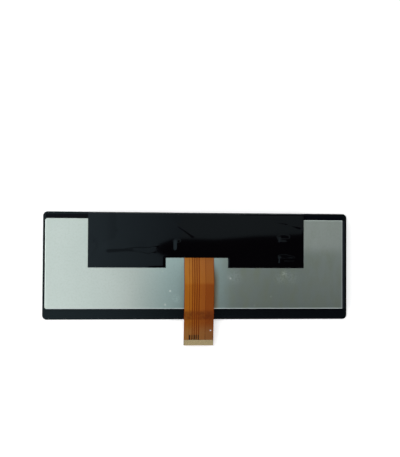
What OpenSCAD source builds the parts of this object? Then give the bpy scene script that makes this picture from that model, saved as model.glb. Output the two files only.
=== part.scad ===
// Bar display module, lying face down: cover glass, liquid-crystal display, edge-lit backlight and a
// printed flex that folds from the glass ledge round to the back and leaves it as one straight tail.
// The origin is at the middle of the cover glass's front face. +Z points out of the module's back,
// +Y towards the ledge and the fold. Lengths are in millimetres.

/* [Cover glass] */
// Width of the cover glass
lens_w = 211; // [209:0.5:230]
// Height of the cover glass
lens_h = 73.7; // [73:0.1:90]
// Thickness of the cover glass
lens_t = 1.1; // [0.7:0.1:3]
// Radius of the cover glass's corners
lens_corner_r = 3; // [1:0.5:8]
// Chamfer ground along the cover glass's edges
lens_chamfer = 0.2; // [0.05:0.05:0.3]
// Thickness of the clear adhesive behind the cover glass
adhesive_t = 0.2; // [0.1:0.05:0.5]

/* [Display glass] */
// Width of the active area
view_w = 199.68; // [190:0.01:201]
// Height of the active area
view_h = 56.16; // [50:0.01:57]
// How far the active area's middle lies to the right of the cover glass's middle
view_x = -0.5; // [-1:0.1:1]
// How far the active area's middle lies above the cover glass's middle
view_y = 0.38; // [-0.5:0.01:0.4]
// Thickness of each of the two display glasses
glass_t = 0.5; // [0.3:0.05:0.7]
// Glass beyond the active area at the left and right
glass_side = 3.16; // [2:0.01:3.2]
// Glass beyond the active area at the bottom
glass_low = 1.4; // [1.2:0.1:2]
// Glass beyond the active area at the top, up to the front glass's edge
glass_top = 2.84; // [1.5:0.01:3]
// Depth of the bare ledge that the rear glass adds at the top
ledge_d = 4; // [3.6:0.1:4]
// Thickness of each polarizer
polarizer_t = 0.18; // [0.1:0.01:0.3]
// How far the polarizers reach beyond the active area
polarizer_edge = 1; // [0.5:0.1:1.2]

/* [Driver chips] */
// Number of driver chips on the ledge
chip_count = 3; // [1:1:4]
// Distance between the chips' middles
chip_pitch = 48; // [46:1:50]
// Width of a chip
chip_w = 30; // [10:1:32]
// Depth of a chip
chip_d = 1.2; // [0.8:0.1:1.4]
// Thickness of a chip
chip_t = 0.3; // [0.2:0.05:0.4]
// Distance from the front glass's edge to a chip
chip_gap = 0.7; // [0.3:0.1:0.9]
// Thickness of the bonding film under the chips and the flex
bond_t = 0.02; // [0.01:0.01:0.05]

/* [Backlight] */
// Thickness of the tape ring between display and backlight
rim_tape_t = 0.1; // [0.05:0.01:0.2]
// How far the tape ring's window clears the active area
rim_window = 0.25; // [0.1:0.05:0.4]
// Thickness of each prism film
prism_t = 0.13; // [0.08:0.01:0.3]
// Thickness of the diffuser film
diffuser_t = 0.1; // [0.05:0.01:0.3]
// Thickness of the light guide
guide_t = 1.5; // [1.2:0.1:3]
// Thickness of the reflector sheet
reflector_t = 0.12; // [0.11:0.01:0.3]
// Light guide beyond the active area at the left and right
guide_side = 1.3; // [0.8:0.1:2]
// Light guide beyond the active area at the bottom
guide_low = 0.7; // [0.5:0.1:1]
// Light guide beyond the active area at the top, where the light enters
guide_top = 1.5; // [1:0.1:1.6]
// How far the films stay inside the light guide's edges
film_inset = 0.3; // [0.1:0.05:0.5]
// How far the light guide's ears stand out
ear_d = 0.9; // [0.4:0.1:1]
// Width of the light guide's ears
ear_w = 6; // [3:0.5:10]
// Distance between the two ears of one side
ear_pitch = 34; // [20:1:44]
// Play between the light guide and the frame
guide_gap = 0.15; // [0.05:0.05:0.3]
// Number of LEDs along the top edge
led_count = 18; // [6:1:20]
// Width of an LED
led_w = 3.8; // [2:0.1:5]
// Depth of an LED
led_d = 1.2; // [0.8:0.1:1.3]
// Gap between the LEDs and the light guide
led_gap = 0.1; // [0.05:0.05:0.2]
// Thickness of the LED strip
strip_t = 0.1; // [0.05:0.01:0.11]
// How far the LED strip reaches under the light guide
strip_grip = 1.8; // [1:0.1:3]
// Width of the LED strip's lead
lead_w = 4; // [2:0.5:4.5]
// Length of the lead's soldered lap on the main flex
lead_lap = 3; // [2:0.5:5]
// Distance from the back plate's top edge to the start of that lap
lead_reach = 8; // [6:0.5:12]

/* [Frame and back plate] */
// Wall of the moulded frame at the left
frame_left_wall = 1.46; // [1.2:0.01:2]
// Wall of the moulded frame at the right
frame_right_wall = 2.21; // [2:0.01:3]
// Walls of the moulded frame at the top and bottom
frame_long_wall = 0.4; // [0.3:0.05:0.6]
// Width of the frame's rim that shows beside the back plate at the right
rim_show = 1.54; // [0.8:0.01:1.8]
// How far that rim stays below the back plate's outer face
rim_step = 0.1; // [0:0.05:0.25]
// Thickness of the back plate's sheet
sheet_t = 0.3; // [0.2:0.05:0.5]
// Gap between the sheet and the frame
sheet_gap = 0.05; // [0.02:0.01:0.1]
// Inside radius of the sheet's bends
bend_r = 0.25; // [0.1:0.05:0.4]
// Height of the sheet's bent walls
wall_h = 1.9; // [1.6:0.1:2.2]
// How far the bent walls stop short of the corners
corner_relief = 0.2; // [0.2:0.1:3]
// Number of snap windows in each long wall
snap_count = 5; // [1:1:8]
// Width of a snap window
snap_w = 6; // [3:0.5:10]
// Height of a snap window
snap_h = 0.7; // [0.5:0.05:0.8]

/* [Main flex] */
// Thickness of the flex
flex_t = 0.11; // [0.08:0.01:0.2]
// Thickness of the tape under the flex's head
flex_tape_t = 0.08; // [0.03:0.01:0.15]
// Length of the bonded strip on the ledge
bond_l = 1.3; // [0.8:0.1:1.4]
// Width of a bonded tongue
tongue_w = 36; // [34:1:44]
// How far the fold's middle line stands off the glass's edge
fold_out = 0.8; // [0.5:0.05:0.8]
// Radius of the fold's two bends
fold_r = 0.6; // [0.3:0.05:0.7]
// Width of the insulating film
cover_w = 148.8; // [146:0.1:152]
// How far the insulating film reaches down from the back plate's top edge
cover_h = 33.4; // [28:0.1:45]
// Width of the film's notch round the tail
notch_w = 43; // [30:0.5:60]
// Height of the film's notch
notch_h = 6.9; // [4:0.1:10]
// Thickness of the insulating film
cover_t = 0.08; // [0.05:0.01:0.12]
// How far the film reaches beyond the flex
cover_edge = 2.2; // [2:0.1:3]
// Clearance between the film and what it covers
cover_gap = 0.02; // [0.01:0.01:0.05]

/* [Tail] */
// Number of contacts at the tail's end
contact_count = 40; // [20:1:44]
// Distance between the contacts
contact_pitch = 0.5; // [0.4:0.05:0.55]
// Width of a contact
contact_w = 0.32; // [0.2:0.01:0.35]
// Length of the contacts
contact_l = 3.9; // [2:0.1:5]
// Thickness of the contacts
contact_t = 0.03; // [0.02:0.01:0.05]
// Flex beyond the middle of the outermost contact
tail_edge = 0.5; // [0.4:0.05:1]
// How far the tail's middle lies to the right of the display's middle
tail_x = 1.45; // [-5:0.05:5]
// Length of the free tail, measured flat from the film's notch
tail_run = 60.3; // [53:0.1:80]
// Height of the tail's arch over the back plate
arch_rise = 3; // [1.5:0.1:5]
// Distance from the film's notch to the crest of the arch
crest_run = 18.1; // [12:0.1:22]
// Height of the tail over the back plate where it passes the lower edge
edge_rise = 0.7; // [0.5:0.1:1.5]
// Height of the tail's end over the cover glass's back face
end_rise = 1.3; // [0.6:0.1:2]
// Length of the stiffener
stiffener_l = 12; // [11.6:0.1:16]
// Thickness of the stiffener
stiffener_t = 0.2; // [0.1:0.05:0.3]
// Diameter of the locating hole
hole_d = 1; // [0.6:0.1:1.5]
// Distance from the locating hole to the tail's end
hole_run = 10.5; // [6:0.1:10.7]
// Distance from the locating hole to the tail's right edge
hole_inset = 2; // [1.2:0.1:5]

/* [Small parts on the flex] */
// Length of a capacitor
capacitor_l = 1; // [0.6:0.1:1.6]
// Height of a capacitor
capacitor_h = 0.3; // [0.2:0.05:0.6]
// Length of a resistor
resistor_l = 1; // [0.6:0.1:1.6]
// Height of a resistor
resistor_h = 0.25; // [0.2:0.05:0.5]
// Length of a diode's body
diode_l = 1.2; // [1:0.1:1.6]
// Height of a diode
diode_h = 0.4; // [0.3:0.05:0.7]

/* [Hidden] */
$fn = 32;
eps = 0.001;

// Places of the small parts, measured across from the display's middle and up from the head's notch
capacitor_places = [
    [-13.8, 8.8], [-13.8, 7.7], [-13.8, 6.6], [-13.8, 5.5], [-13.8, 4.4],
    [60.2, 8.6], [60.2, -2.5], [60.2, -3.6], [60.2, -4.7], [60.2, -5.8]
];
resistor_places = [[60.2, 11.9], [60.2, 10.8], [60.2, 9.7], [60.2, -1.4]];
diode_places = [[63.2, -2.5], [63.2, -4.7]];

// Edges of the active area
view_left = view_x - view_w / 2;
view_right = view_x + view_w / 2;
view_low = view_y - view_h / 2;
view_high = view_y + view_h / 2;

// Front faces of the layers, from the cover glass towards the back
z_adhesive = lens_t;
z_front_polarizer = z_adhesive + adhesive_t;
z_filter_glass = z_front_polarizer + polarizer_t;
z_tft = z_filter_glass + glass_t;
z_rear_polarizer = z_tft + glass_t;
z_rim_tape = z_rear_polarizer + polarizer_t;
z_upper_prism = z_rim_tape + rim_tape_t;
z_lower_prism = z_upper_prism + prism_t;
z_diffuser = z_lower_prism + prism_t;
z_guide = z_diffuser + diffuser_t;
z_reflector = z_guide + guide_t;
z_plate = z_reflector + reflector_t;
z_back = z_plate + sheet_t;

// Edges of the display glasses
glass_left = view_left - glass_side;
glass_right = view_right + glass_side;
glass_bottom = view_low - glass_low;
filter_top = view_high + glass_top;
ledge_top = filter_top + ledge_d;

// Edges of the light guide, of the LED bay above it and of the frame round both
guide_left = view_left - guide_side;
guide_right = view_right + guide_side;
guide_bottom = view_low - guide_low;
guide_head = view_high + guide_top;
led_front = guide_head + led_gap;
led_back = led_front + led_d;
frame_left = guide_left - guide_gap - frame_left_wall;
frame_right = guide_right + guide_gap + frame_right_wall;
frame_low = guide_bottom - guide_gap - frame_long_wall;
frame_high = led_back + guide_gap + frame_long_wall;
strip_low = guide_head - strip_grip;
led_pitch = (guide_right - guide_left) / led_count;

// Outer faces of the back plate
plate_left = frame_left - sheet_gap - sheet_t;
plate_right = frame_right - rim_show - sheet_gap;
plate_low = frame_low - sheet_gap - sheet_t;
plate_high = frame_high + sheet_gap + sheet_t;
bend_out = bend_r + sheet_t;
long_wall_w = plate_right - plate_left - bend_out - corner_relief;
short_wall_w = plate_high - plate_low - 2 * bend_out - 2 * corner_relief;
long_wall_x = plate_left + bend_out + corner_relief + long_wall_w / 2;
snap_z = z_back - 0.6 * wall_h;
snap_pitch = long_wall_w / snap_count;

// The insulating film, its notch, and the flex's head inside them
cover_left = view_x - cover_w / 2;
cover_right = view_x + cover_w / 2;
cover_low = plate_high - cover_h;
notch_left = view_x - notch_w / 2;
notch_right = view_x + notch_w / 2;
notch_high = cover_low + notch_h;
head_left = cover_left + cover_edge;
head_right = cover_right - cover_edge;
head_low = cover_low + cover_edge;
head_high = plate_high + 1;
head_notch_high = notch_high + cover_edge;
z_head = z_back + flex_tape_t;
z_head_mid = z_head + flex_t / 2;
z_head_top = z_head + flex_t;
z_bond_mid = z_tft - bond_t - flex_t / 2;
tongue_left = view_x - chip_pitch * (chip_count - 1) / 2 - tongue_w / 2;
lead_x = (head_left + tongue_left) / 2;
lead_low = plate_high - lead_reach;
head_corner_r = 1;

// The tail
tail_w = (contact_count - 1) * contact_pitch + 2 * tail_edge;
tail_mid = view_x + tail_x;
tail_left = tail_mid - tail_w / 2;
tail_right = tail_mid + tail_w / 2;
rise_bend = 3;
rise_y = notch_high - rise_bend - 0.2;
crest_y = notch_high - crest_run;
dip_y = plate_low - 2;
end_y = notch_high - tail_run;
end_z = lens_t + end_rise;
dip_z = z_head_mid + edge_rise;
end_slope = atan2(dip_z - end_z, dip_y - end_y);

// Unit vector along v
function unit(v) = v / norm(v);

// A smooth bend that replaces the corner b of the path a, b, c, starting d before the corner
function corner(a, b, c, d, n) =
    let (p = b + unit(a - b) * d, q = b + unit(c - b) * d)
    [for (i = [0:n]) let (t = i / n) (1 - t) * (1 - t) * p + 2 * t * (1 - t) * b + t * t * q];

// A path through corners given as [y, z, blend], with every inner corner bent smoothly
function bent(k, n = 6) =
    let (p = [for (c = k) [c[0], c[1]]], last = len(p) - 1)
    [p[0], for (i = [1:last - 1]) each corner(p[i - 1], p[i], p[i + 1], k[i][2], n), p[last]];

// Direction of the path at one of its points
function along(p, i) = unit(p[min(i + 1, len(p) - 1)] - p[max(i - 1, 0)]);

// The path moved sideways by d
function beside(p, d) = [for (i = [0:len(p) - 1]) let (t = along(p, i)) p[i] + d * [t[1], -t[0]]];

// The same list from its end to its start
function reversed(p) = [for (i = [len(p) - 1:-1:0]) p[i]];

// Numbers from a up to just before b, in n equal steps
function ruled(a, b, n) = [for (i = [0:n - 1]) a + (b - a) * i / n];

// The flex's path from its bond on the ledge round the glass's edge to the head
fold_path = bent([
    [ledge_top - bond_l, z_bond_mid, 0],
    [ledge_top + fold_out, z_bond_mid, fold_r],
    [ledge_top + fold_out, z_head_mid, fold_r],
    [head_high - 1, z_head_mid, 0]
]);

// The flex's path from the head to the tail's end
tail_path = bent([
    [head_notch_high + 1, z_head_mid, 0],
    [rise_y, z_head_mid, rise_bend],
    [crest_y, z_head_mid + arch_rise, 1.6],
    [dip_y, dip_z, 6],
    [end_y, end_z, 0]
]);

// The path of the LED strip's lead, out through the walls, up and onto the flex's head
z_strip_mid = z_plate - strip_t / 2;
z_lead_back = z_back + strip_t / 2;
z_lead_lap = z_head_top + strip_t / 2;
lead_out = plate_high + 0.3;
lead_cut = 0.15;
lead_step = 0.8;
lead_path = [
    [led_front, z_strip_mid],
    [lead_out - lead_cut, z_strip_mid],
    [lead_out, z_strip_mid + lead_cut],
    [lead_out, z_lead_back - lead_cut],
    [lead_out - lead_cut, z_lead_back],
    [lead_low + lead_cut + lead_step, z_lead_back],
    [lead_low + lead_cut, z_lead_lap],
    [lead_low - lead_lap, z_lead_lap]
];

// A flat slab between two corners, t thick, with its front face at z
module slab(x0, x1, y0, y1, z, t) {
    translate([x0, y0, z]) cube([x1 - x0, y1 - y0, t]);
}

// A rectangle with round corners
module soft_rectangle(x0, x1, y0, y1, r) {
    translate([x0 + r, y0]) square([x1 - x0 - 2 * r, y1 - y0]);
    translate([x0, y0 + r]) square([x1 - x0, y1 - y0 - 2 * r]);
    for (x = [x0 + r, x1 - r], y = [y0 + r, y1 - r]) translate([x, y]) circle(r);
}

// The small filled corner between two edges of a flex outline, reaching towards sx, sy
module corner_fill(x, y, r, sx, sy) {
    translate([x, y]) difference() {
        translate([sx > 0 ? 0 : -r, sy > 0 ? 0 : -r]) square(r);
        translate([sx * r, sy * r]) circle(r);
    }
}

// A thin ribbon that follows a path in the YZ plane
module ribbon(path, width, t, x) {
    translate([x, 0, 0]) rotate([90, 0, 90]) linear_extrude(width, center = true)
        polygon(concat(beside(path, t / 2), reversed(beside(path, -t / 2))));
}

// The cover glass's section along one edge, from the middle out to d
module lens_section(d) {
    c = lens_chamfer;
    polygon([[0, 0], [d - c, 0], [d, c], [d, lens_t - c], [d - c, lens_t], [0, lens_t]]);
}

module cover_lens() {
    r = lens_corner_r;
    color("#101418") {
        for (m = [0, 1]) mirror([m, 0, 0]) rotate([90, 0, 0])
            linear_extrude(lens_h - 2 * r, center = true) lens_section(lens_w / 2);
        for (m = [0, 1]) mirror([0, m, 0]) rotate([90, 0, 90])
            linear_extrude(lens_w - 2 * r, center = true) lens_section(lens_h / 2);
        for (x = [0, 1], y = [0, 1]) mirror([x, 0, 0]) mirror([0, y, 0])
            translate([lens_w / 2 - r, lens_h / 2 - r, 0]) rotate_extrude(angle = 90) lens_section(r);
    }
}

// A sheet over the active area that reaches beyond it by edge
module view_sheet(edge, z, t) {
    slab(view_left - edge, view_right + edge, view_low - edge, view_high + edge, z, t);
}

module lens_adhesive() {
    color("#c8d0d4", 0.6) view_sheet(polarizer_edge, z_adhesive, adhesive_t);
}

module front_polarizer() {
    color("#16181c") view_sheet(polarizer_edge, z_front_polarizer, polarizer_t);
}

module color_filter_glass() {
    color("#8fa3a0") slab(glass_left, glass_right, glass_bottom, filter_top, z_filter_glass, glass_t);
}

module tft_glass() {
    color("#7f9693") slab(glass_left, glass_right, glass_bottom, ledge_top, z_tft, glass_t);
}

module rear_polarizer() {
    color("#1b1d22") view_sheet(polarizer_edge, z_rear_polarizer, polarizer_t);
}

module driver_chip(i) {
    x = view_x + (i - (chip_count + 1) / 2) * chip_pitch;
    y = filter_top + chip_gap;
    color("#2b2d33") slab(x - chip_w / 2, x + chip_w / 2, y, y + chip_d, z_tft - bond_t - chip_t, chip_t);
}

module rim_tape() {
    w = rim_window;
    color("#0c0c0d") difference() {
        slab(frame_left, frame_right, frame_low, frame_high, z_rim_tape, rim_tape_t);
        slab(view_left - w, view_right + w, view_low - w, view_high + w, z_rim_tape - 1, rim_tape_t + 2);
    }
}

// Outline of the light guide and of the films on it, with two ears at each end, grown by g
module guide_outline(g) {
    w = guide_right - guide_left + 2 * g;
    h = guide_head - guide_bottom + 2 * g;
    mid = (guide_bottom + guide_head) / 2;
    translate([guide_left - g, guide_bottom - g]) square([w, h]);
    for (y = [mid - ear_pitch / 2, mid + ear_pitch / 2])
        translate([guide_left - ear_d - g, y - ear_w / 2 - g]) square([w + 2 * ear_d, ear_w + 2 * g]);
}

module optical_film(z, t) {
    translate([0, 0, z]) linear_extrude(t) guide_outline(-film_inset);
}

module upper_prism_film() {
    color("#dfe5ea") optical_film(z_upper_prism, prism_t);
}

module lower_prism_film() {
    color("#d5dce2") optical_film(z_lower_prism, prism_t);
}

module diffuser_film() {
    color("#f2f3f1") optical_film(z_diffuser, diffuser_t);
}

module light_guide() {
    color("#e4ecea") translate([0, 0, z_guide]) linear_extrude(guide_t) guide_outline(0);
}

module reflector_sheet() {
    e = film_inset;
    color("#f7f7f5")
        slab(guide_left + e, guide_right - e, guide_bottom + e, strip_low - e, z_reflector, reflector_t);
}

module led(i) {
    x = guide_left + (i - 0.5) * led_pitch;
    z = z_plate - strip_t - guide_t;
    rim = 0.2;
    cup_w = led_w - 4 * rim;
    cup_d = 1.5 * rim;
    color("#f4ecd0") difference() {
        slab(x - led_w / 2, x + led_w / 2, led_front, led_back, z, guide_t);
        slab(x - cup_w / 2, x + cup_w / 2, led_front - 1, led_front + cup_d, z + rim, guide_t - 2 * rim);
    }
}

module backlight_flex() {
    e = film_inset;
    color("#e8e3d4") {
        slab(guide_left + e, guide_right - e, strip_low, led_back, z_plate - strip_t, strip_t);
        ribbon(lead_path, lead_w, strip_t, lead_x);
    }
}

// The places of the snaps: [x, y, turn], with the turn's X axis along the wall and Y outwards
snap_places = concat(
    [for (i = [1:snap_count]) [long_wall_x + (i - (snap_count + 1) / 2) * snap_pitch, frame_high, 0]],
    [for (i = [1:snap_count]) [long_wall_x + (i - (snap_count + 1) / 2) * snap_pitch, frame_low, 180]],
    [[frame_left, (frame_low + frame_high) / 2, 90]]
);

// A block at every snap, w wide and h high, from d0 to d1 outwards from the frame's wall
module snap_blocks(w, h, d0, d1) {
    for (s = snap_places)
        translate([s[0], s[1], snap_z]) rotate([0, 0, s[2]])
            translate([-w / 2, d0, -h / 2]) cube([w, d1 - d0, h]);
}

// The way of the LED strip's lead out through the top walls
module lead_slot() {
    play = 0.3;
    w = lead_w + 2 * play;
    z = z_plate - strip_t - play / 3;
    slab(lead_x - w / 2, lead_x + w / 2, led_back, plate_high + 1, z, bend_out + strip_t);
}

// The corner cut from the frame's back edges, which leaves room for the sheet's bends
module bend_room() {
    clear = 0.05;
    c = bend_r - sheet_gap + clear;
    w = frame_right - frame_left;
    h = frame_high - frame_low;
    for (m = [0, 1])
        translate([0, frame_low + h / 2, z_plate]) mirror([0, m, 0])
            translate([frame_left + w / 2, h / 2, 0]) rotate([90, 0, 90])
                linear_extrude(w + 2, center = true) polygon([[-c, 0], [1, 1 + c], [1, -c - 1]]);
    translate([frame_left, frame_low + h / 2, z_plate]) rotate([90, 0, 0])
        linear_extrude(h + 2, center = true) polygon([[c, 0], [-1, 1 + c], [-1, -c - 1]]);
}

module backlight_frame() {
    play = 0.2;
    bay = guide_gap;
    h = z_plate - z_upper_prism;
    rim_t = sheet_t - rim_step;
    color("#2c333c") difference() {
        union() {
            difference() {
                slab(frame_left, frame_right, frame_low, frame_high, z_upper_prism, h);
                translate([0, 0, z_upper_prism - 1]) linear_extrude(h + 2) {
                    guide_outline(guide_gap);
                    translate([guide_left - bay, guide_head])
                        square([guide_right - guide_left + 2 * bay, led_back + bay - guide_head]);
                }
                bend_room();
            }
            slab(frame_right - rim_show, frame_right, frame_low, frame_high, z_plate - eps, rim_t + eps);
            snap_blocks(snap_w - play, snap_h - play, -frame_long_wall / 2, sheet_gap + sheet_t * 0.7);
        }
        lead_slot();
    }
}

// Section of a bent wall: the bend's middle at the origin, the wall going down at the right
module bent_wall_section() {
    intersection() {
        difference() {
            circle(bend_out);
            circle(bend_r);
        }
        square(bend_out);
    }
    translate([bend_r, bend_out - wall_h]) square([sheet_t, wall_h - bend_out]);
}

module back_plate() {
    z_bend = z_back - bend_out;
    b = bend_out;
    color("#b4bfbb") difference() {
        union() {
            slab(plate_left + b, plate_right, plate_low + b, plate_high - b, z_plate, sheet_t);
            translate([long_wall_x, plate_high - b, z_bend]) rotate([90, 0, 90])
                linear_extrude(long_wall_w, center = true) bent_wall_section();
            translate([long_wall_x, plate_low + b, z_bend]) mirror([0, 1, 0]) rotate([90, 0, 90])
                linear_extrude(long_wall_w, center = true) bent_wall_section();
            translate([plate_left + b, (plate_low + plate_high) / 2, z_bend])
                mirror([1, 0, 0]) rotate([90, 0, 0])
                    linear_extrude(short_wall_w, center = true) bent_wall_section();
        }
        snap_blocks(snap_w, snap_h, -sheet_t, sheet_gap + 2 * sheet_t);
        lead_slot();
    }
}

module flex_tape() {
    margin = 3;
    gap_x = notch_w / 2 + cover_edge;
    color("#cfcabb") for (s = [-1, 1]) {
        x0 = s < 0 ? head_left + margin : view_x + gap_x;
        x1 = s < 0 ? view_x - gap_x : head_right - margin;
        slab(x0, x1, head_low + margin, lead_low - lead_lap - margin, z_back, flex_tape_t);
    }
}

// Outline of the flex's head, with the notch round the tail and the corner left free for the lead
module head_outline() {
    r = head_corner_r;
    difference() {
        soft_rectangle(head_left, head_right, head_low, head_high, r);
        translate([notch_left - cover_edge, head_low - 1])
            square([notch_w + 2 * cover_edge, head_notch_high - head_low + 1]);
        translate([head_left - 1, lead_low]) square([tongue_left - head_left + 1, head_high]);
    }
    corner_fill(tail_left, head_notch_high, r, -1, -1);
    corner_fill(tail_right, head_notch_high, r, 1, -1);
}

// Moves what follows to the tail's end: X across, Y back along the tail, Z out of its contact face
module at_tail_end() {
    translate([tail_mid, end_y, end_z]) rotate([end_slope, 0, 0]) children();
}

module locating_hole() {
    through = 4 * (flex_t + stiffener_t);
    at_tail_end() translate([tail_w / 2 - hole_inset, hole_run, 0])
        cylinder(h = through, d = hole_d, center = true);
}

module main_flex() {
    color("#a8661f") difference() {
        union() {
            translate([0, 0, z_head]) linear_extrude(flex_t) head_outline();
            for (i = [1:chip_count])
                ribbon(fold_path, tongue_w, flex_t, view_x + (i - (chip_count + 1) / 2) * chip_pitch);
            ribbon(tail_path, tail_w, flex_t, tail_mid);
        }
        locating_hole();
    }
}

module tail_stiffener() {
    color("#c98a2e") difference() {
        at_tail_end() translate([-tail_w / 2, 0, -flex_t / 2 - stiffener_t])
            cube([tail_w, stiffener_l, stiffener_t]);
        locating_hole();
    }
}

module contact_fingers() {
    color("#c9a24a") at_tail_end() for (i = [1:contact_count])
        translate([(i - (contact_count + 1) / 2) * contact_pitch - contact_w / 2, 0, flex_t / 2])
            cube([contact_w, contact_l, contact_t]);
}

// A part of two ends and a body, l long along X, standing on the flex's head at a place
module small_part(place, l, w, h, cap, body_colour, cap_colour) {
    translate([view_x + place[0], head_notch_high + place[1], z_head_top]) {
        color(body_colour) translate([-l / 2 + cap, -w / 2, h * 0.04]) cube([l - 2 * cap, w, h * 0.92]);
        color(cap_colour) for (s = [-1, 1])
            translate([s * (l - cap) / 2 - cap / 2 - eps, -w / 2, 0]) cube([cap + 2 * eps, w, h]);
    }
}

module capacitor(i) {
    l = capacitor_l;
    small_part(capacitor_places[i - 1], l, l / 2, capacitor_h, l * 0.2, "#b08a5a", "#cfd2d4");
}

module resistor(i) {
    l = resistor_l;
    small_part(resistor_places[i - 1], l, l / 2, resistor_h, l * 0.2, "#1c1c1e", "#cfd2d4");
}

module diode(i) {
    lead = 0.35;
    small_part(diode_places[i - 1], diode_l + 2 * lead, diode_l * 0.7, diode_h, lead, "#202022", "#c4c6c8");
}

// The insulating film: rows run along the path, from under the fold round it and down the back
z_cover_low = z_back + cover_gap + cover_t / 2;
z_cover_high = z_head_top + cover_gap + cover_t / 2;
cover_out = flex_t / 2 + cover_gap + cover_t / 2;
cover_foot = 0.6;
slope_run = cover_edge - cover_foot;
tail_play = 0.4;
cell = 3.6;
cover_fold = bent([
    [ledge_top - bond_l / 2, z_bond_mid - cover_out, 0],
    [ledge_top + fold_out + cover_out, z_bond_mid - cover_out, fold_r + cover_out],
    [ledge_top + fold_out + cover_out, z_cover_high, fold_r + cover_out],
    [head_high, z_cover_high, 0]
]);
cover_rows = concat(
    ruled(head_high - 0.5, notch_high + slope_run, round((head_high - notch_high) / cell)),
    [notch_high + slope_run],
    ruled(notch_high, cover_low + slope_run, round(notch_h / cell)),
    [cover_low + slope_run, cover_low]
);
cover_path = concat(cover_fold, [for (y = cover_rows) [y, z_cover_low]]);
cover_columns = concat(
    [cover_left],
    ruled(cover_left + slope_run, notch_left - slope_run, round((notch_left - cover_left) / cell)),
    [notch_left - slope_run],
    ruled(notch_left, tail_left - slope_run, round((tail_left - notch_left) / cell)),
    [tail_left - slope_run],
    ruled(tail_left - tail_play, tail_right + tail_play, round(tail_w / cell)),
    [tail_right + tail_play],
    ruled(tail_right + slope_run, notch_right, round((notch_right - tail_right) / cell)),
    [notch_right],
    ruled(notch_right + slope_run, cover_right - slope_run, round((cover_right - notch_right) / cell)),
    [cover_right - slope_run, cover_right]
);

// True where the film lies over the flex at x, y and not on the bare back plate
function over_flex(x, y) =
    x > cover_left + eps && x < cover_right - eps && y > cover_low + eps &&
    (y > notch_high + eps ||
     x < notch_left - eps || x > notch_right + eps ||
     (x > tail_left - tail_play - eps && x < tail_right + tail_play + eps));

// What stands on the flex under the film: [x, y, height, half length]
under_cover = concat(
    [for (p = capacitor_places) [view_x + p[0], head_notch_high + p[1], capacitor_h, capacitor_l / 2]],
    [for (p = resistor_places) [view_x + p[0], head_notch_high + p[1], resistor_h, resistor_l / 2]],
    [for (p = diode_places) [view_x + p[0], head_notch_high + p[1], diode_h, diode_l / 2 + 0.4]],
    [for (y = [lead_low, lead_low - lead_lap]) [lead_x, y, strip_t, lead_w / 2]]
);

// How far the film is lifted over the small parts at x, y
function lift(x, y) = max([for (u = under_cover)
    abs(x - u[0]) < u[3] + 1.1 * cell && abs(y - u[1]) < u[3] + 0.9 * cell ? u[2] + cover_gap : 0]);

// Middle of the film in column i and row j
function cover_point(i, j) =
    let (x = cover_columns[i], p = cover_path[j])
    j < len(cover_fold) ? [x, p[0], p[1]] :
    [x, p[0], over_flex(x, p[0]) ? z_cover_high + lift(x, p[0]) : z_cover_low];

// The film's outward direction in row j
function cover_normal(j) =
    j < len(cover_fold) ? let (t = along(cover_fold, j)) [0, t[1], -t[0]] : [0, 0, 1];

// True where the film has a cell between columns i, i + 1 and rows j, j + 1
function has_cell(i, j) =
    i >= 0 && j >= 0 && i < len(cover_columns) - 1 && j < len(cover_path) - 1 &&
    !(cover_columns[i] > notch_left - eps && cover_columns[i + 1] < notch_right + eps &&
      cover_path[j][0] < notch_high + eps);

// Two triangles that fill the corners a, b, c, d
function two(a, b, c, d) = [[a, b, c], [a, c, d]];

module flex_cover_film() {
    nx = len(cover_columns);
    nj = len(cover_path);
    points = [for (s = [1, -1], j = [0:nj - 1], i = [0:nx - 1])
        cover_point(i, j) + s * cover_t / 2 * cover_normal(j)];
    function out(i, j) = j * nx + i;
    function in(i, j) = nx * nj + out(i, j);
    faces = [for (i = [0:nx - 2], j = [0:nj - 2]) if (has_cell(i, j)) each concat(
        two(out(i, j), out(i + 1, j), out(i + 1, j + 1), out(i, j + 1)),
        two(in(i, j), in(i, j + 1), in(i + 1, j + 1), in(i + 1, j)),
        has_cell(i - 1, j) ? [] : two(out(i, j), out(i, j + 1), in(i, j + 1), in(i, j)),
        has_cell(i + 1, j) ? [] : two(out(i + 1, j + 1), out(i + 1, j), in(i + 1, j), in(i + 1, j + 1)),
        has_cell(i, j - 1) ? [] : two(out(i + 1, j), out(i, j), in(i, j), in(i + 1, j)),
        has_cell(i, j + 1) ? [] : two(out(i, j + 1), out(i + 1, j + 1), in(i + 1, j + 1), in(i, j + 1))
    )];
    color("#141719") polyhedron(points, faces);
}

cover_lens();
lens_adhesive();
front_polarizer();
color_filter_glass();
tft_glass();
rear_polarizer();
rim_tape();
upper_prism_film();
lower_prism_film();
diffuser_film();
light_guide();
reflector_sheet();
backlight_flex();
backlight_frame();
back_plate();
flex_tape();
main_flex();
tail_stiffener();
contact_fingers();
flex_cover_film();
for (i = [1:chip_count]) driver_chip(i);
for (i = [1:led_count]) led(i);
for (i = [1:len(capacitor_places)]) capacitor(i);
for (i = [1:len(resistor_places)]) resistor(i);
for (i = [1:len(diode_places)]) diode(i);
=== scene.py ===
import math

import bmesh
import bpy
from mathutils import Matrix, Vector, noise


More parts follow.
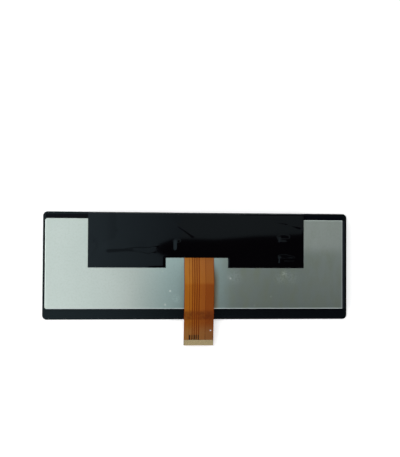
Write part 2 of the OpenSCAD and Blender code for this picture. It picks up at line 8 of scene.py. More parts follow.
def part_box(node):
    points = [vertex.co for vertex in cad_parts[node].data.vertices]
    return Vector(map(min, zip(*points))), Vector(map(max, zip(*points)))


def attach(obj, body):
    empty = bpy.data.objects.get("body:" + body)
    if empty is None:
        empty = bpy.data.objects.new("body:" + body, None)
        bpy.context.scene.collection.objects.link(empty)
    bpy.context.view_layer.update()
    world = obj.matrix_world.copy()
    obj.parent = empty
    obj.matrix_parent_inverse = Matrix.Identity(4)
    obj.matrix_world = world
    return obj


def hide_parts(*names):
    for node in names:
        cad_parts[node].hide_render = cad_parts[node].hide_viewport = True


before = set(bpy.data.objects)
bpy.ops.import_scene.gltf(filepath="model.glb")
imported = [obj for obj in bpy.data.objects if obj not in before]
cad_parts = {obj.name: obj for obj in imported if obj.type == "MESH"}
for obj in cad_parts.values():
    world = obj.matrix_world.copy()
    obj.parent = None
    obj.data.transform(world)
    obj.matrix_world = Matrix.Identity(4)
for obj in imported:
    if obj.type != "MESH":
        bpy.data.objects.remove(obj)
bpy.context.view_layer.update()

# The stage: the module lies face down on a white table under wide soft panels at its left and back.
# Low white walls all round light it evenly, and a black card over its right half leaves the steel
# and the glossy film their deep tones.
mm = 0.001
scene = bpy.context.scene
scene.view_settings.view_transform = "Standard"


def linear(hex_colour):
    """An sRGB hex colour as the linear colour that a shader takes."""
    parts = [int(hex_colour[i:i + 2], 16) / 255 for i in (1, 3, 5)]
    return (*[c / 12.92 if c <= 0.04045 else ((c + 0.055) / 1.055) ** 2.4 for c in parts], 1)


def add_node(tree, kind, inputs=None, **settings):
    """Adds a node with its settings, values and incoming links, which may name a node's first output."""
    made = tree.nodes.new(kind)
    for name, value in settings.items():
        setattr(made, name, value)
    for name, value in (inputs or {}).items():
        if isinstance(value, bpy.types.Node):
            value = value.outputs[0]
        if isinstance(value, bpy.types.NodeSocket):
            tree.links.new(value, made.inputs[name])
        else:
            made.inputs[name].default_value = value
    return made


def new_material(name):
    """A material with an empty node tree."""
    material = bpy.data.materials.new(name)
    material.use_nodes = True
    material.node_tree.nodes.clear()
    return material, material.node_tree


# The photo's camera, as fitted to the cover glass's four corners
camera_data = bpy.data.cameras.new("photo_camera")
camera_data.lens = 62.4
camera_data.sensor_width = 36
camera_data.clip_start = 0.01
camera = bpy.data.objects.new("photo_camera", camera_data)
camera.location = Vector((-48.8, 11.8, 547.4)) * mm
camera.rotation_euler = [math.radians(angle) for angle in (1.4456, -5.2995, 0.3047)]
scene.collection.objects.link(camera)
scene.camera = camera

# White laminate: its own colour lit by the studio, and a little glow that only eyes, metal and glass
# see, so that the table reads white and still takes the module's shadow.
table_glow = 0.42
table_top, tree = new_material("white_laminate")
ray = add_node(tree, "ShaderNodeLightPath")
seen = add_node(tree, "ShaderNodeMath", {
    0: ray.outputs["Is Camera Ray"], 1: ray.outputs["Is Glossy Ray"]}, operation="MAXIMUM")
seen = add_node(tree, "ShaderNodeMath", {
    0: seen, 1: ray.outputs["Is Transmission Ray"]}, operation="MAXIMUM")
glow = add_node(tree, "ShaderNodeMath", {0: seen, 1: table_glow}, operation="MULTIPLY")
# Far from the module, where the lamps fade, the camera still sees the table white up to the walls
place = add_node(tree, "ShaderNodeNewGeometry")
away = add_node(tree, "ShaderNodeVectorMath", {0: place.outputs["Position"]}, operation="LENGTH")
far = add_node(tree, "ShaderNodeMapRange", {
    "Value": away.outputs["Value"], "From Min": 0.3, "From Max": 1.2, "To Max": 0.6})
far = add_node(tree, "ShaderNodeMath", {0: far, 1: ray.outputs["Is Camera Ray"]}, operation="MULTIPLY")
glow = add_node(tree, "ShaderNodeMath", {0: glow, 1: far}, operation="ADD")
white = add_node(tree, "ShaderNodeBsdfDiffuse", {"Color": linear("#f4f4f4")})
shine = add_node(tree, "ShaderNodeEmission", {"Color": (1, 1, 1, 1), "Strength": glow})
both = add_node(tree, "ShaderNodeAddShader", {0: white, 1: shine})
add_node(tree, "ShaderNodeOutputMaterial", {"Surface": both})

table_w = 12
table_drop = 0.03 * mm  # keeps the table's face and the glass's apart
bpy.ops.object.select_all(action="DESELECT")
bpy.ops.mesh.primitive_plane_add(size=table_w, location=(0, 0, -table_drop))
table = bpy.context.object
table.name = "table"
table.data.materials.append(table_top)

# The studio's walls: white from the floor up to about 30 degrees, then falling to a dark ceiling, so
# that the sides of the module are lit all round.
world = bpy.data.worlds.new("studio_walls")
scene.world = world
world.use_nodes = True
tree = world.node_tree
tree.nodes.clear()
direction = add_node(tree, "ShaderNodeTexCoord")
part = add_node(tree, "ShaderNodeSeparateXYZ", {0: direction.outputs["Generated"]})
wall = add_node(tree, "ShaderNodeMapRange", {
    "Value": part.outputs["Z"], "From Min": 0.5, "From Max": 0.9, "To Min": 1.0, "To Max": 0.03},
    interpolation_type="SMOOTHSTEP")
sky = add_node(tree, "ShaderNodeBackground", {"Color": (1, 1, 1, 1), "Strength": wall})
add_node(tree, "ShaderNodeOutputWorld", {"Surface": sky})

# Lamp panels, hung level over the table. Each has its left, right, front and back edge in metres, its
# radiance at the left and at the right, the place from which it dims, and its tint. A dim seam parts
# the two left ones, which the film's creases mirror.
panel_height = 0.9
panels = {
    "key_panel": (-1.6, -0.96, -0.5, 0.7, 3.5, 3.5, -1.6, "#ffffff"),
    "left_back_panel": (-0.95, 0.05, -0.033, 0.7, 1.0, 0.42, -0.12, "#fbfffe"),
    "left_front_panel": (-0.95, 0.05, -0.5, -0.045, 1.06, 0.42, -0.12, "#fbfffe"),
    "seam_panel": (-0.95, 0.05, -0.045, -0.033, 0.4, 0.17, -0.12, "#fbfffe"),
    "back_panel": (0.05, 0.16, 0.0, 0.7, 0.46, 0.44, 0.05, "#fffaf0"),
    "right_back_panel": (0.16, 0.9, 0.0, 0.09, 0.44, 0.1, 0.16, "#fffaf0"),
}
for name, (left, right, front, back, left_radiance, right_radiance, fade_from, tint) in panels.items():
    lamp = bpy.data.lights.new(name, "AREA")
    lamp.shape = "RECTANGLE"
    lamp.size = right - left
    lamp.size_y = back - front
    lamp.energy = math.pi * lamp.size * lamp.size_y
    lamp.color = linear(tint)[:3]
    lamp.use_nodes = True
    tree = lamp.node_tree
    place = add_node(tree, "ShaderNodeNewGeometry")
    along = add_node(tree, "ShaderNodeSeparateXYZ", {0: place.outputs["Parametric"]})
    dim = add_node(tree, "ShaderNodeMapRange", {
        "Value": along.outputs["X"], "From Min": (fade_from - left) / (right - left), "From Max": 1.0,
        "To Min": left_radiance, "To Max": right_radiance})
    tree.links.new(dim.outputs[0], tree.nodes["Emission"].inputs["Strength"])
    hung = bpy.data.objects.new(name, lamp)
    hung.location = ((left + right) / 2, (front + back) / 2, panel_height)
    hung.visible_camera = False
    scene.collection.objects.link(hung)

# Black card: the stage's flag of dull black paper, hung just under the panels. It gives the right half
# of the steel its deeper tone, and the glossy film mirrors its edge.
card_black, tree = new_material("black_card")
flat = add_node(tree, "ShaderNodeBsdfDiffuse", {"Color": linear("#050505")})
add_node(tree, "ShaderNodeOutputMaterial", {"Surface": flat})
card_drop = 1 * mm
card_outline = (
    (0.0027, 0.0062), (0.012, 0.0215), (0.0336, 0.0298), (0.112, 0.0302), (0.19, 0.0356), (0.95, 0.07),
    (0.95, -0.6), (-0.01, -0.6), (-0.01, -0.075), (0.018, -0.04), (0.024, -0.0036))
bpy.ops.object.select_all(action="DESELECT")
bpy.ops.mesh.primitive_circle_add(vertices=len(card_outline), fill_type="NGON")
card = bpy.context.object
card.name = "black_card"
for corner, (x, y) in zip(card.data.vertices, card_outline):
    corner.co = (x, y, panel_height - card_drop)
card.data.materials.append(card_black)
card.visible_camera = False


# Cover glass: 1.1 mm soda-lime glass with ground and chamfered edges, the piece that everything else
# is bonded to. It lies face down on the table.
def dress(start, material):
    """Gives the CAD nodes whose names start like this their material."""
    for name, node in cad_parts.items():
        if name.startswith(start):
            for held in node.material_slots:
                held.material = material


# Float glass is clear and faintly green, with an almost perfect polish
float_glass, tree = new_material("polished_float_glass")
point = add_node(tree, "ShaderNodeTexCoord").outputs["Object"]  # metres from the module's origin
smear = add_node(tree, "ShaderNodeTexNoise", {"Vector": point, "Scale": 1 / (12 * mm), "Detail": 3})
haze = add_node(tree, "ShaderNodeMapRange", {
    "Value": smear.outputs["Fac"], "To Min": 0.01, "To Max": 0.06})
clear = add_node(tree, "ShaderNodeBsdfPrincipled", {
    "Base Color": linear("#eef7f3"), "Roughness": haze, "IOR": 1.52, "Transmission Weight": 1.0})
# Its ground edge and chamfers are drawn a rough near-black, as the photo shows them
level_share = 0.9  # what faces up or down by less than this is edge or chamfer
facing = add_node(tree, "ShaderNodeNewGeometry")
upright = add_node(tree, "ShaderNodeSeparateXYZ", {0: facing.outputs["True Normal"]})
level = add_node(tree, "ShaderNodeMath", {0: upright.outputs["Z"]}, operation="ABSOLUTE")
on_edge = add_node(tree, "ShaderNodeMath", {0: level, 1: level_share}, operation="LESS_THAN")
ground = add_node(tree, "ShaderNodeBsdfPrincipled", {
    "Base Color": linear("#0b0d10"), "Roughness": 0.5, "Specular IOR Level": 0.15})
mixed = add_node(tree, "ShaderNodeMixShader", {0: on_edge, 1: clear, 2: ground})
add_node(tree, "ShaderNodeOutputMaterial", {"Surface": mixed})
dress("cover_lens", float_glass)


# Black border: two coats of black ink, screen printed on the back of the cover glass round the
# window. It is the dark rim that shows all round the steel.
def begin(name, add, **where):
    """Adds a primitive under this name, with nothing else selected, and opens it for editing."""
    bpy.ops.object.select_all(action="DESELECT")
    add(**where)
    piece = bpy.context.object
    piece.name = name
    piece.data.name = name
    bpy.ops.object.transform_apply(location=True, rotation=True, scale=True)
    bpy.ops.object.mode_set(mode="EDIT")
    return piece


def choose(piece, kind, test):
    """Selects only the corners, edges or faces whose middle passes the test."""
    bpy.ops.mesh.select_mode(type=kind)
    bpy.ops.mesh.select_all(action="DESELECT")
    shape = bmesh.from_edit_mesh(piece.data)
    items = {"VERT": shape.verts, "EDGE": shape.edges, "FACE": shape.faces}[kind]
    for item in items:
        corners = [item] if kind == "VERT" else item.verts
        middle = sum((corner.co for corner in corners), Vector()) / len(corners)
        if test(middle):
            item.select_set(True)
    shape.select_flush_mode()
    bmesh.update_edit_mesh(piece.data)


def cut(at, across):
    """Cuts every face with a plane through a point."""
    bpy.ops.mesh.select_all(action="SELECT")
    bpy.ops.mesh.bisect(plane_co=at, plane_no=across)


def thicken(piece, thickness):
    """Gives an open sheet its thickness, half to each side."""
    bpy.ops.object.mode_set(mode="OBJECT")
    solid = piece.modifiers.new("thickness", "SOLIDIFY")
    solid.thickness = thickness
    solid.offset = 0.0
    bpy.ops.object.modifier_apply(modifier=solid.name)


def settle(piece, material):
    """Leaves a finished piece at the origin with its material, riding on the module."""
    if piece.mode == "EDIT":
        bpy.ops.object.mode_set(mode="OBJECT")
    piece.data.materials.clear()
    piece.data.materials.append(material)
    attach(piece, "root")


# Screen ink dries to a dense black with a low satin gloss and a faint blue cast
ink, tree = new_material("screen_printed_ink")
point = add_node(tree, "ShaderNodeTexCoord").outputs["Object"]
grain = add_node(tree, "ShaderNodeTexNoise", {"Vector": point, "Scale": 1 / (0.6 * mm), "Detail": 2})
uneven = add_node(tree, "ShaderNodeMapRange", {
    "Value": grain.outputs["Fac"], "To Min": 0.2, "To Max": 0.3})
skin = add_node(tree, "ShaderNodeBump", {
    "Height": grain.outputs["Fac"], "Distance": 0.004 * mm, "Strength": 0.5})
printed = add_node(tree, "ShaderNodeBsdfPrincipled", {
    "Base Color": linear("#0a0d11"), "Roughness": uneven, "Specular IOR Level": 0.26,
    "Specular Tint": linear("#c4e6f2"), "Normal": skin})
add_node(tree, "ShaderNodeOutputMaterial", {"Surface": printed})

lens_low, lens_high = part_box("cover_lens")
sight_low, sight_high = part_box("front_polarizer")
ink_margin = 0.21 * mm
ink_t = 0.015 * mm
ink_in_glass = 0.003 * mm
ink_corner_r = 2.8 * mm
window_step = 0.5 * mm

border = begin("black_border", bpy.ops.mesh.primitive_plane_add, size=1)
bpy.ops.transform.resize(value=(lens_high.x - lens_low.x - 2 * ink_margin,
                                lens_high.y - lens_low.y - 2 * ink_margin, 1))
bpy.ops.transform.translate(value=(0, 0, lens_high.z - ink_in_glass + ink_t / 2))
bpy.ops.mesh.select_mode(type="VERT")
bpy.ops.mesh.bevel(offset=ink_corner_r, segments=8, affect="VERTICES")
window_left, window_right = sight_low.x + window_step, sight_high.x - window_step
window_low, window_high = sight_low.y + window_step, sight_high.y - window_step
for side in (window_left, window_right):
    cut((side, 0, 0), (1, 0, 0))
for side in (window_low, window_high):
    cut((0, side, 0), (0, 1, 0))
choose(border, "FACE", lambda m: window_left < m.x < window_right and window_low < m.y < window_high)
bpy.ops.mesh.delete(type="FACE")
thicken(border, ink_t)
settle(border, ink)

# Optical adhesive: a clear acrylic sheet, 0.2 mm thick, laminated without a bubble between the cover
# glass and the display. It wets both, so that the two look like one piece of glass.
acrylic_gel, tree = new_material("clear_acrylic_adhesive")
point = add_node(tree, "ShaderNodeTexCoord").outputs["Object"]
drift = add_node(tree, "ShaderNodeTexNoise", {"Vector": point, "Scale": 1 / (30 * mm)})
soft = add_node(tree, "ShaderNodeMapRange", {
    "Value": drift.outputs["Fac"], "To Min": 0.02, "To Max": 0.06})
jelly = add_node(tree, "ShaderNodeBsdfPrincipled", {
    "Base Color": linear("#f7f8f6"), "Roughness": soft, "IOR": 1.48, "Transmission Weight": 1.0})
add_node(tree, "ShaderNodeOutputMaterial", {"Surface": jelly})
dress("lens_adhesive", acrylic_gel)

# Polarizers: stretched, dyed plastic film bonded to both faces of the display. Switched off, it is a
# neutral near-black, faintly streaked along the stretch.
dyed_film, tree = new_material("dyed_polarizer_film")
point = add_node(tree, "ShaderNodeTexCoord").outputs["Object"]
stretch = add_node(tree, "ShaderNodeMapping", {"Vector": point, "Scale": (1, 20, 1)})
drawn = add_node(tree, "ShaderNodeTexNoise", {"Vector": stretch, "Scale": 1 / (20 * mm), "Detail": 3})
tone = add_node(tree, "ShaderNodeMix", {
    0: drawn.outputs["Fac"], 6: linear("#121419"), 7: linear("#191b1f")}, data_type="RGBA")
dark = add_node(tree, "ShaderNodeBsdfPrincipled", {
    "Base Color": tone.outputs[2], "Roughness": 0.22, "IOR": 1.49})
add_node(tree, "ShaderNodeOutputMaterial", {"Surface": dark})
dress("front_polarizer", dyed_film)
dress("rear_polarizer", dyed_film)

# Display glasses: two thin sheets of alkali-free glass with the liquid crystal between. The rear one
# stands out at the top as a bare ledge, which the fine metal tracks under the driver chips darken.
panel_glass, tree = new_material("thin_display_glass")
point = add_node(tree, "ShaderNodeTexCoord").outputs["Object"]
spot = add_node(tree, "ShaderNodeSeparateXYZ", {0: point})
track_pitch = 0.5 * mm  # drawn about ten times as coarse as the real tracks, so that it can be seen
track_share = 0.55
ledge_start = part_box("color_filter_glass")[1].y + 0.2 * mm
across = add_node(tree, "ShaderNodeMath", {0: spot.outputs["X"], 1: track_pitch}, operation="PINGPONG")
track = add_node(tree, "ShaderNodeMath", {
    0: across, 1: track_pitch * track_share}, operation="GREATER_THAN")
ledge = add_node(tree, "ShaderNodeMath", {
    0: spot.outputs["Y"], 1: ledge_start}, operation="GREATER_THAN")
glass = add_node(tree, "ShaderNodeBsdfPrincipled", {
    "Base Color": linear("#e6f1ee"), "Roughness": 0.03, "IOR": 1.51, "Transmission Weight": 1.0,
    "Specular IOR Level": 0.1})
tone = add_node(tree, "ShaderNodeMix", {
    0: track, 6: linear("#06080d"), 7: linear("#0a0e16")}, data_type="RGBA")
film_metal = add_node(tree, "ShaderNodeBsdfPrincipled", {
    "Base Color": tone.outputs[2], "Roughness": 0.2, "Specular IOR Level": 0.05})
mixed = add_node(tree, "ShaderNodeMixShader", {0: ledge, 1: glass, 2: film_metal})
add_node(tree, "ShaderNodeOutputMaterial", {"Surface": mixed})
dress("tft_glass", panel_glass)
dress("color_filter_glass", panel_glass)

# Driver chips: bare slivers of silicon, pressed face down on the ledge's tracks. Their backs are
# ground to a grey half-metal sheen with fine streaks.
silicon, tree = new_material("ground_silicon")
point = add_node(tree, "ShaderNodeTexCoord").outputs["Object"]
stretch = add_node(tree, "ShaderNodeMapping", {"Vector": point, "Scale": (1, 12, 1)})
grind = add_node(tree, "ShaderNodeTexNoise", {"Vector": stretch, "Scale": 1 / (0.5 * mm), "Detail": 4})
matt = add_node(tree, "ShaderNodeMapRange", {
    "Value": grind.outputs["Fac"], "To Min": 0.18, "To Max": 0.38})
die = add_node(tree, "ShaderNodeBsdfPrincipled", {
    "Base Color": linear("#4a4d55"), "Metallic": 0.7, "Roughness": matt})
add_node(tree, "ShaderNodeOutputMaterial", {"Surface": die})
dress("driver_chip_", silicon)

# Rim tape: a die-cut ring of black double-sided foam tape that holds the backlight to the display.
# Its open cells leave it matt and finely pitted.
foam_tape, tree = new_material("black_foam_tape")
point = add_node(tree, "ShaderNodeTexCoord").outputs["Object"]
cells = add_node(tree, "ShaderNodeTexVoronoi", {"Vector": point, "Scale": 1 / (0.4 * mm)})
pits = add_node(tree, "ShaderNodeBump", {
    "Height": cells.outputs["Distance"], "Distance": 0.02 * mm, "Strength": 0.5})
foam = add_node(tree, "ShaderNodeBsdfPrincipled", {
    "Base Color": linear("#101113"), "Roughness": 0.75, "Normal": pits})
add_node(tree, "ShaderNodeOutputMaterial", {"Surface": foam})
dress("rim_tape", foam_tape)

# Prism films: two crossed sheets of clear polyester with fine moulded ridges, which send the light
# forward and give the sheets a silky shimmer.
ridge_pitch = 0.5 * mm  # drawn about ten times as coarse as the real ridges, so that it can be seen
for node, axis in (("upper_prism_film", "X"), ("lower_prism_film", "Y")):
    ridged, tree = new_material("ridged_polyester_" + axis.lower())
    point = add_node(tree, "ShaderNodeTexCoord").outputs["Object"]
    spot = add_node(tree, "ShaderNodeSeparateXYZ", {0: point})
    wave = add_node(tree, "ShaderNodeMath", {
        0: spot.outputs[axis], 1: ridge_pitch / 2}, operation="PINGPONG")
    ridge = add_node(tree, "ShaderNodeBump", {"Height": wave, "Distance": 1.0, "Strength": 0.6})
    sheet = add_node(tree, "ShaderNodeBsdfPrincipled", {
        "Base Color": linear("#e3e8ec"), "Roughness": 0.12, "IOR": 1.57, "Transmission Weight": 0.7,
        "Normal": ridge})
    add_node(tree, "ShaderNodeOutputMaterial", {"Surface": sheet})
    dress(node, ridged)

# Diffuser: a loose sheet of polyester coated with tiny beads. They scatter the light, so that the
# sheet is an even milky white.
beaded, tree = new_material("beaded_diffuser_film")
point = add_node(tree, "ShaderNodeTexCoord").outputs["Object"]
beads = add_node(tree, "ShaderNodeTexVoronoi", {"Vector": point, "Scale": 1 / (0.25 * mm)})
beading = add_node(tree, "ShaderNodeBump", {"Height": beads.outputs["Distance"], "Distance": 0.02 * mm})
milky = add_node(tree, "ShaderNodeBsdfPrincipled", {
    "Base Color": linear("#f1f2f0"), "Roughness": 0.6, "Transmission Weight": 0.3, "Normal": beading})
add_node(tree, "ShaderNodeOutputMaterial", {"Surface": milky})
dress("diffuser_film", beaded)

# Light guide: clear moulded acrylic plate with ears at its ends. White dots printed on its back grow
# away from the LEDs.
dotted, tree = new_material("dotted_acrylic_plate")
point = add_node(tree, "ShaderNodeTexCoord").outputs["Object"]
spot = add_node(tree, "ShaderNodeSeparateXYZ", {0: point})
guide_low, guide_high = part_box("light_guide")
dots = add_node(tree, "ShaderNodeTexVoronoi", {
    "Vector": point, "Scale": 1 / (0.8 * mm), "Randomness": 0.0}, voronoi_dimensions="2D")
size = add_node(tree, "ShaderNodeMapRange", {
    "Value": spot.outputs["Y"], "From Min": guide_low.y, "From Max": guide_high.y,
    "To Min": 0.42, "To Max": 0.18})
dot = add_node(tree, "ShaderNodeMath", {0: dots.outputs["Distance"], 1: size}, operation="LESS_THAN")
acrylic = add_node(tree, "ShaderNodeBsdfPrincipled", {
    "Base Color": linear("#eef4f4"), "Roughness": 0.05, "IOR": 1.49, "Transmission Weight": 1.0})
dot_ink = add_node(tree, "ShaderNodeBsdfPrincipled", {"Base Color": linear("#f4f4f2"), "Roughness": 0.7})
mixed = add_node(tree, "ShaderNodeMixShader", {0: dot, 1: acrylic, 2: dot_ink})
add_node(tree, "ShaderNodeOutputMaterial", {"Surface": mixed})
dress("light_guide", dotted)


# Reflector: a sheet of voided polyester behind the light guide. The voids make it bright white and
# matt as paper.
def mottled_sheet(name, grain, detail, darker, lighter, roughness):
    """The material of a plain sheet whose tone drifts between two close colours, in this grain."""
    material, tree = new_material(name)
    point = add_node(tree, "ShaderNodeTexCoord").outputs["Object"]
    fibre = add_node(tree, "ShaderNodeTexNoise", {"Vector": point, "Scale": 1 / grain, "Detail": detail})
    tone = add_node(tree, "ShaderNodeMix", {
        0: fibre.outputs["Fac"], 6: linear(darker), 7: linear(lighter)}, data_type="RGBA")
    sheet = add_node(tree, "ShaderNodeBsdfPrincipled", {
        "Base Color": tone.outputs[2], "Roughness": roughness})
    add_node(tree, "ShaderNodeOutputMaterial", {"Surface": sheet})
    return material


voided = mottled_sheet("white_voided_polyester", 2 * mm, 4, "#efefec", "#fafaf8", 0.65)
dress("reflector_sheet", voided)

# LED strip: a flex that carries the LEDs, with a lead that leaves through the wall and is soldered to
# the main flex. Its solder mask is an even cream white with a soft shine.
masked = mottled_sheet("white_solder_mask", 3 * mm, 3, "#dcd8c8", "#efeada", 0.4)
dress("backlight_flex", masked)

# LEDs: side-firing packages soldered to the strip. Each is a white moulded cup whose mouth is filled
# with yellow phosphor gel.
cup, tree = new_material("white_cup_and_phosphor")
within = add_node(tree, "ShaderNodeTexCoord")
spot = add_node(tree, "ShaderNodeSeparateXYZ", {0: within.outputs["Generated"]})
rim_share = 0.13
gel_depth_share = 0.3
edge_x = add_node(tree, "ShaderNodeMath", {0: spot.outputs["X"], 1: 0.5}, operation="PINGPONG")
edge_z = add_node(tree, "ShaderNodeMath", {0: spot.outputs["Z"], 1: 0.5}, operation="PINGPONG")
in_x = add_node(tree, "ShaderNodeMath", {0: edge_x, 1: rim_share}, operation="GREATER_THAN")
in_z = add_node(tree, "ShaderNodeMath", {0: edge_z, 1: rim_share}, operation="GREATER_THAN")
near = add_node(tree, "ShaderNodeMath", {
    0: spot.outputs["Y"], 1: gel_depth_share}, operation="LESS_THAN")
inside = add_node(tree, "ShaderNodeMath", {0: in_x, 1: in_z}, operation="MULTIPLY")
gel = add_node(tree, "ShaderNodeMath", {0: inside, 1: near}, operation="MULTIPLY")
tone = add_node(tree, "ShaderNodeMix", {
    0: gel, 6: linear("#f1efe6"), 7: linear("#e6c84a")}, data_type="RGBA")
package = add_node(tree, "ShaderNodeBsdfPrincipled", {"Base Color": tone.outputs[2], "Roughness": 0.35})
add_node(tree, "ShaderNodeOutputMaterial", {"Surface": package})
dress("led_", cup)

# Backlight frame: moulded polycarbonate, dyed a dark blue-grey, with the fine grain of its mould. It
# holds the light guide and snaps into the steel tray, and its rim shows at the right of the steel.
moulded, tree = new_material("moulded_polycarbonate")
point = add_node(tree, "ShaderNodeTexCoord").outputs["Object"]
spark = add_node(tree, "ShaderNodeTexNoise", {"Vector": point, "Scale": 1 / (0.15 * mm), "Detail": 2})
flow = add_node(tree, "ShaderNodeTexNoise", {"Vector": point, "Scale": 1 / (9 * mm), "Detail": 2})
tone = add_node(tree, "ShaderNodeMix", {
    0: flow.outputs["Fac"], 6: linear("#0c1016"), 7: linear("#12171e")}, data_type="RGBA")
texture = add_node(tree, "ShaderNodeBump", {"Height": spark.outputs["Fac"], "Distance": 0.01 * mm})
plastic = add_node(tree, "ShaderNodeBsdfPrincipled", {
    "Base Color": tone.outputs[2], "Roughness": 0.42, "Specular IOR Level": 0.22, "Normal": texture})
add_node(tree, "ShaderNodeOutputMaterial", {"Surface": plastic})
dress("backlight_frame", moulded)

# Back plate: 0.3 mm zinc-plated steel, sheared and pressed into a shallow tray that closes the
# backlight. The coating is a satin grey with a cool green cast, a faint grain along the rolling and
# a few small dents, rubs and finger smudges. Painted shade darkens it right of the tail and towards
# the front, with a painted shadow beside the tail and painted glints on its edges and dents.
steel, tree = new_material("satin_zinc_plated_steel")
plate_low, plate_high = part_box("back_plate")
point = add_node(tree, "ShaderNodeTexCoord").outputs["Object"]
spot = add_node(tree, "ShaderNodeSeparateXYZ", {0: point})
rolled = add_node(tree, "ShaderNodeMapping", {"Vector": point, "Scale": (0.12, 1, 1)})
grain = add_node(tree, "ShaderNodeTexNoise", {"Vector": rolled, "Scale": 1 / (0.35 * mm), "Detail": 3})
cloud = add_node(tree, "ShaderNodeTexNoise", {"Vector": point, "Scale": 1 / (26 * mm), "Detail": 3})
dull = add_node(tree, "ShaderNodeMapRange", {
    "Value": cloud.outputs["Fac"], "From Min": 0.3, "From Max": 0.7, "To Min": 0.2, "To Max": 0.24})
# A cool cast round the tail
tail_middle = 2 * mm
near = add_node(tree, "ShaderNodeMath", {0: spot.outputs["X"], 1: tail_middle}, operation="SUBTRACT")
near = add_node(tree, "ShaderNodeMath", {0: near}, operation="ABSOLUTE")
cool = add_node(tree, "ShaderNodeMapRange", {
    "Value": near, "From Min": 15 * mm, "From Max": 50 * mm, "To Min": 1.0, "To Max": 0.0},
    interpolation_type="SMOOTHSTEP")
# Painted shade: the steel is drawn darker to the right of the tail, less so near the right end and at the
# back
rise = add_node(tree, "ShaderNodeMapRange", {
    "Value": spot.outputs["X"], "From Min": 8 * mm, "From Max": 30 * mm},
    interpolation_type="SMOOTHSTEP")
fall = add_node(tree, "ShaderNodeMapRange", {
    "Value": spot.outputs["X"], "From Min": 60 * mm, "From Max": 100 * mm, "To Min": 1.0, "To Max": 0.75},
    interpolation_type="SMOOTHSTEP")
front = add_node(tree, "ShaderNodeMapRange", {
    "Value": spot.outputs["Y"], "From Min": 15 * mm, "From Max": 6 * mm, "To Min": 0.35, "To Max": 1.0},
    interpolation_type="SMOOTHSTEP")
painted_shade_right = add_node(tree, "ShaderNodeMath", {0: rise, 1: fall}, operation="MULTIPLY")
painted_shade_right = add_node(tree, "ShaderNodeMath", {0: painted_shade_right, 1: front}, operation="MULTIPLY")
# Painted shade: the steel is drawn darker towards the front edge, but not at the left
right = add_node(tree, "ShaderNodeMapRange", {
    "Value": spot.outputs["X"], "From Min": -62 * mm, "From Max": -8 * mm},
    interpolation_type="SMOOTHSTEP")
low = add_node(tree, "ShaderNodeMapRange", {
    "Value": spot.outputs["Y"], "From Min": 16 * mm, "From Max": -29 * mm, "To Max": 0.3})
dim = add_node(tree, "ShaderNodeMath", {0: right, 1: low}, operation="MULTIPLY")
# Faint blotches, drawn out across the rolling, within the painted shade right of the tail
stain = add_node(tree, "ShaderNodeMapping", {"Vector": point, "Scale": (1, 0.35, 1)})
blotch = add_node(tree, "ShaderNodeTexNoise", {"Vector": stain, "Scale": 1 / (5 * mm), "Detail": 4})
faint = add_node(tree, "ShaderNodeMapRange", {
    "Value": blotch.outputs["Fac"], "From Min": 0.42, "From Max": 0.68, "To Max": 0.3})
faint = add_node(tree, "ShaderNodeMath", {0: faint, 1: painted_shade_right}, operation="MULTIPLY")
# Painted shadow: a narrow brown shade beside the tail, on its right
painted_shadow_edge = 9 * mm
beside = add_node(tree, "ShaderNodeMapRange", {
    "Value": spot.outputs["X"], "From Min": 10.5 * mm, "From Max": 16 * mm, "To Min": 0.9, "To Max": 0.0},
    interpolation_type="SMOOTHSTEP")
past = add_node(tree, "ShaderNodeMath", {0: spot.outputs["X"], 1: painted_shadow_edge}, operation="GREATER_THAN")
below = add_node(tree, "ShaderNodeMapRange", {
    "Value": spot.outputs["Y"], "From Min": 3 * mm, "From Max": -10 * mm},
    interpolation_type="SMOOTHSTEP")
painted_tail_shadow = add_node(tree, "ShaderNodeMath", {0: beside, 1: below}, operation="MULTIPLY")
painted_tail_shadow = add_node(tree, "ShaderNodeMath", {0: painted_tail_shadow, 1: past}, operation="MULTIPLY")
# A fine speckle of dust and grain
speck = add_node(tree, "ShaderNodeTexNoise", {"Vector": point, "Scale": 1 / (1.3 * mm), "Detail": 3})
dusty = add_node(tree, "ShaderNodeMapRange", {
    "Value": speck.outputs["Fac"], "From Min": 0.45, "From Max": 0.72, "To Max": 0.09})
# Painted glint: the pressed edges at the front and the right are drawn bright
past_right = add_node(tree, "ShaderNodeMath", {
    0: spot.outputs["X"], 1: plate_high.x}, operation="SUBTRACT")
past_front = add_node(tree, "ShaderNodeMath", {
    0: plate_low.y, 1: spot.outputs["Y"]}, operation="SUBTRACT")
outward = add_node(tree, "ShaderNodeMath", {0: past_right, 1: past_front}, operation="MAXIMUM")
painted_edge_glint = add_node(tree, "ShaderNodeMapRange", {
    "Value": outward, "From Min": -0.8 * mm, "From Max": -0.3 * mm, "To Max": 0.5})
tone = add_node(tree, "ShaderNodeMix", {
    0: cloud.outputs["Fac"], 6: linear("#c6d3ce"), 7: linear("#d4deda")}, data_type="RGBA")
# The tone takes in turn its cast, painted shade, blotches, painted shadow, dust and the painted edge
# glint
for share, hue in (
        (cool, "#c6e0df"), (painted_shade_right, "#aab8b3"), (dim, "#58625f"), (faint, "#9aa37e"), (painted_tail_shadow, "#9c8458"),
        (dusty, "#8c958d"), (painted_edge_glint, "#f0f8fa")):
    tone = add_node(tree, "ShaderNodeMix", {
        0: share, 6: tone.outputs[2], 7: linear(hue)}, data_type="RGBA")
